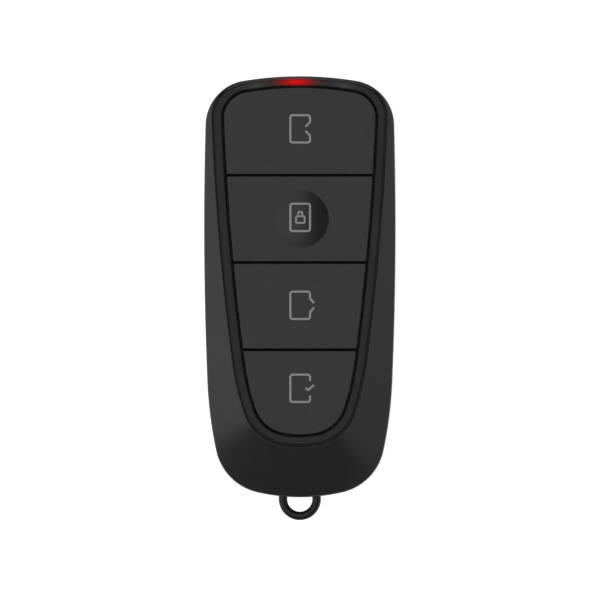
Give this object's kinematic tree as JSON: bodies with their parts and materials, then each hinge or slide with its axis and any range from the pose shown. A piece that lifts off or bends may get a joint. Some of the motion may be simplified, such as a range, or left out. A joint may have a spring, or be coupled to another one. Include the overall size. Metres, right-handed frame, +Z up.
{
  "type": "turnstile remote control",
  "caption": "Slim tapered hand transmitter for a turnstile: a column of pictogram press keys inside a smoked light ring, a screwed two-shell case and a wire loop for a key ring.",
  "frame": {"origin": "centre of the bounding box on the plane that the back lies on, with the keys facing up", "axes": "+Z up out of the key face, +Y along the body towards the lamp end, away from the key ring loop, +X across to the right"},
  "size_m": [0.0312, 0.0724, 0.0133],
  "materials": {
    "case_plastic": "fine satin texture, dark grey",
    "smoked_plastic": "smoked, semi-gloss, lets red light through at the top end",
    "key_plastic": "fine satin texture, dark grey",
    "silicone": "matt",
    "board_laminate": "green solder resist",
    "black_moulding": "moulded",
    "bright_steel": "nickel plated",
    "copper": "tinned copper",
    "ceramic_tan": "ceramic body",
    "red_lens": "clear red",
    "black_wire": "gloss black",
    "black_screw": "black oxide"
  },
  "bodies": {
    "casing": {"front_shell": "case_plastic", "rear_shell": "case_plastic", "light_ring": "smoked_plastic", "keypad_mat": "silicone", "circuit_board": "board_laminate", "switch_base_1": "black_moulding", "switch_base_2": "black_moulding", "switch_base_3": "black_moulding", "switch_base_4": "black_moulding", "switch_cover_1": "bright_steel", "switch_cover_2": "bright_steel", "switch_cover_3": "bright_steel", "switch_cover_4": "bright_steel", "switch_dome_1": "bright_steel", "switch_dome_2": "bright_steel", "switch_dome_3": "bright_steel", "switch_dome_4": "bright_steel", "indicator_led": "red_lens", "code_chip": "black_moulding", "radio_chip": "black_moulding", "timing_crystal": "bright_steel", "capacitor_left": "ceramic_tan", "capacitor_right": "ceramic_tan", "aerial_track": "copper", "coin_cell": "bright_steel", "battery_contact": "copper", "battery_clip": "bright_steel", "key_loop": "black_wire", "case_screw_left": "black_screw", "case_screw_right": "black_screw"},
    "key_enter": {"key_enter": "key_plastic"},
    "key_lock": {"key_lock": "key_plastic"},
    "key_exit": {"key_exit": "key_plastic"},
    "key_allow": {"key_allow": "key_plastic"},
    "plunger_1": {"switch_plunger_1": "black_moulding"},
    "plunger_2": {"switch_plunger_2": "black_moulding"},
    "plunger_3": {"switch_plunger_3": "black_moulding"},
    "plunger_4": {"switch_plunger_4": "black_moulding"}
  },
  "joints": [
    {"name": "key_enter_press", "type": "slide", "parent": "casing", "child": "key_enter", "axis": [0, 0, -1], "range_m": [0, 0.0003], "stiffness_N_per_m": 5000, "deforming": ["keypad_mat"]},
    {"name": "key_lock_press", "type": "slide", "parent": "casing", "child": "key_lock", "axis": [0, 0, -1], "range_m": [0, 0.0003], "stiffness_N_per_m": 5000, "deforming": ["keypad_mat"]},
    {"name": "key_exit_press", "type": "slide", "parent": "casing", "child": "key_exit", "axis": [0, 0, -1], "range_m": [0, 0.0003], "stiffness_N_per_m": 5000, "deforming": ["keypad_mat"]},
    {"name": "key_allow_press", "type": "slide", "parent": "casing", "child": "key_allow", "axis": [0, 0, -1], "range_m": [0, 0.0003], "stiffness_N_per_m": 5000, "deforming": ["keypad_mat"]},
    {"name": "plunger_1_press", "type": "slide", "parent": "casing", "child": "plunger_1", "axis": [0, 0, -1], "range_m": [0, 0.00025], "deforming": ["switch_dome_1"]},
    {"name": "plunger_2_press", "type": "slide", "parent": "casing", "child": "plunger_2", "axis": [0, 0, -1], "range_m": [0, 0.00025], "deforming": ["switch_dome_2"]},
    {"name": "plunger_3_press", "type": "slide", "parent": "casing", "child": "plunger_3", "axis": [0, 0, -1], "range_m": [0, 0.00025], "deforming": ["switch_dome_3"]},
    {"name": "plunger_4_press", "type": "slide", "parent": "casing", "child": "plunger_4", "axis": [0, 0, -1], "range_m": [0, 0.00025], "deforming": ["switch_dome_4"]}
  ],
  "couplings": [
    {"joint": "plunger_1_press", "follows": "key_enter_press", "ratio": 0.8333},
    {"joint": "plunger_2_press", "follows": "key_lock_press", "ratio": 0.8333},
    {"joint": "plunger_3_press", "follows": "key_exit_press", "ratio": 0.8333},
    {"joint": "plunger_4_press", "follows": "key_allow_press", "ratio": 0.8333}
  ]
}
